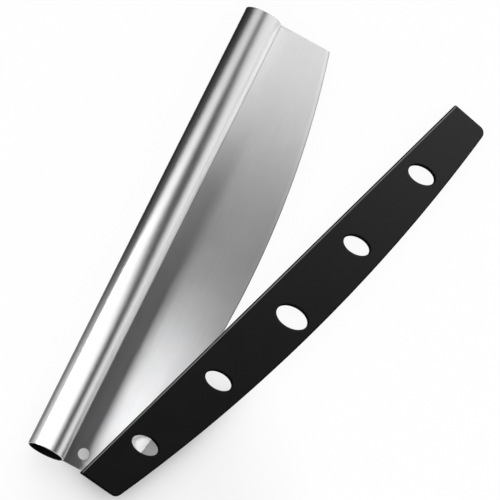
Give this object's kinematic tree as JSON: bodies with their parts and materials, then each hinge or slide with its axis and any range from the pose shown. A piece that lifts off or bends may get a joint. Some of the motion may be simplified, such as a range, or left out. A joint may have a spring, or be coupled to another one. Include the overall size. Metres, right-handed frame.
{
  "type": "rocking pizza knife",
  "caption": "Long curved two-handed rocker blade on a straight tube handle, with a slotted guard that swings closed over its cutting edge.",
  "frame": {"origin": "on the handle tube's axis, half way along it", "axes": "+X along the handle towards the end away from the hanging hole, -Y towards the cutting edge, +Z square to the blade's flat face"},
  "size_m": [0.4227, 0.2223, 0.0318],
  "materials": {
    "brushed_tube": "stainless tube brushed along its length",
    "brushed_blade": "stainless sheet with a fine long grain",
    "black_guard": "satin black moulded plastic"
  },
  "bodies": {
    "knife": {"handle_tube": "brushed_tube", "blade": "brushed_blade"},
    "guard": {"blade_guard": "black_guard"}
  },
  "joints": [
    {"name": "guard_swing", "type": "hinge", "parent": "knife", "child": "guard", "pos_m": [-0.1916, -0.06578, 0], "axis": [0, 0, 1], "range_deg": [0, 18.73]}
  ]
}
